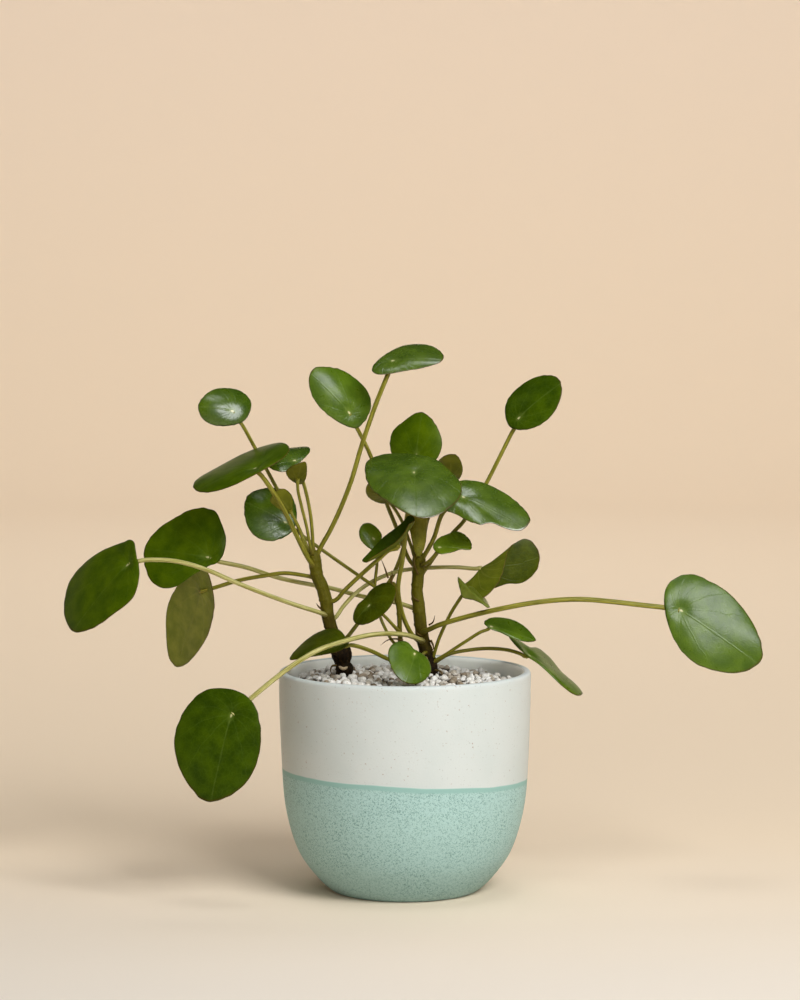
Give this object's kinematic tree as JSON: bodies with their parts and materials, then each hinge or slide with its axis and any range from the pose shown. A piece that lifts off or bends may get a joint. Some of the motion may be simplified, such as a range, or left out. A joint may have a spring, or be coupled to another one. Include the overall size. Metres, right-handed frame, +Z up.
{
  "type": "potted pilea plant",
  "caption": "Small house plant with round, shield-like leaves on long stalks, rooted in a round two-tone glazed planter with a pumice topping.",
  "frame": {"origin": "centre of the flat ring that the pot stands on", "axes": "+Z up along the pot's axis, +X to the right as seen in the picture, +Y away from the viewer"},
  "size_m": [0.3512, 0.1264, 0.2744],
  "materials": {
    "pot_glaze": "glossy speckled glaze, warm white below and pale sea green above an uneven dip line",
    "soil": "dark matt potting soil; plastic stands in for soil",
    "pumice": "rough dry pumice grit, white, cream and grey",
    "stem_bark": "dark brown bark low down, olive green above, with leaf scars",
    "leaf_green": "fleshy dark green blade with a soft waxy sheen; leather stands in for living leaf"
  },
  "bodies": {
    "root": {"pot": "pot_glaze", "potting_soil": "soil", "pumice_topping": "pumice", "stem_left": "stem_bark", "stem_right": "stem_bark", "stem_middle": "stem_bark", "leaf_far_left": "leaf_green", "leaf_left_broad": "leaf_green", "leaf_left_hanging": "leaf_green", "leaf_low_left": "leaf_green", "leaf_top_left": "leaf_green", "leaf_left_slanted": "leaf_green", "leaf_left_folded": "leaf_green", "leaf_left_bud_upper": "leaf_green", "leaf_left_round": "leaf_green", "leaf_left_bud_lower": "leaf_green", "leaf_top_middle": "leaf_green", "leaf_crown_top": "leaf_green", "leaf_back_upright": "leaf_green", "leaf_front_large": "leaf_green", "leaf_right_wavy": "leaf_green", "leaf_top_right": "leaf_green", "leaf_small_back_right": "leaf_green", "leaf_small_back_left": "leaf_green", "leaf_small_cupped": "leaf_green", "leaf_small_middle": "leaf_green", "leaf_edge_on": "leaf_green", "leaf_right_folded": "leaf_green", "leaf_small_folded": "leaf_green", "leaf_rim_right": "leaf_green", "leaf_rim_hanging": "leaf_green", "leaf_far_right": "leaf_green", "leaf_dark_oval": "leaf_green", "leaf_rim_left": "leaf_green", "leaf_front_low": "leaf_green", "leaf_young_rolled": "leaf_green"}
  },
  "joints": []
}
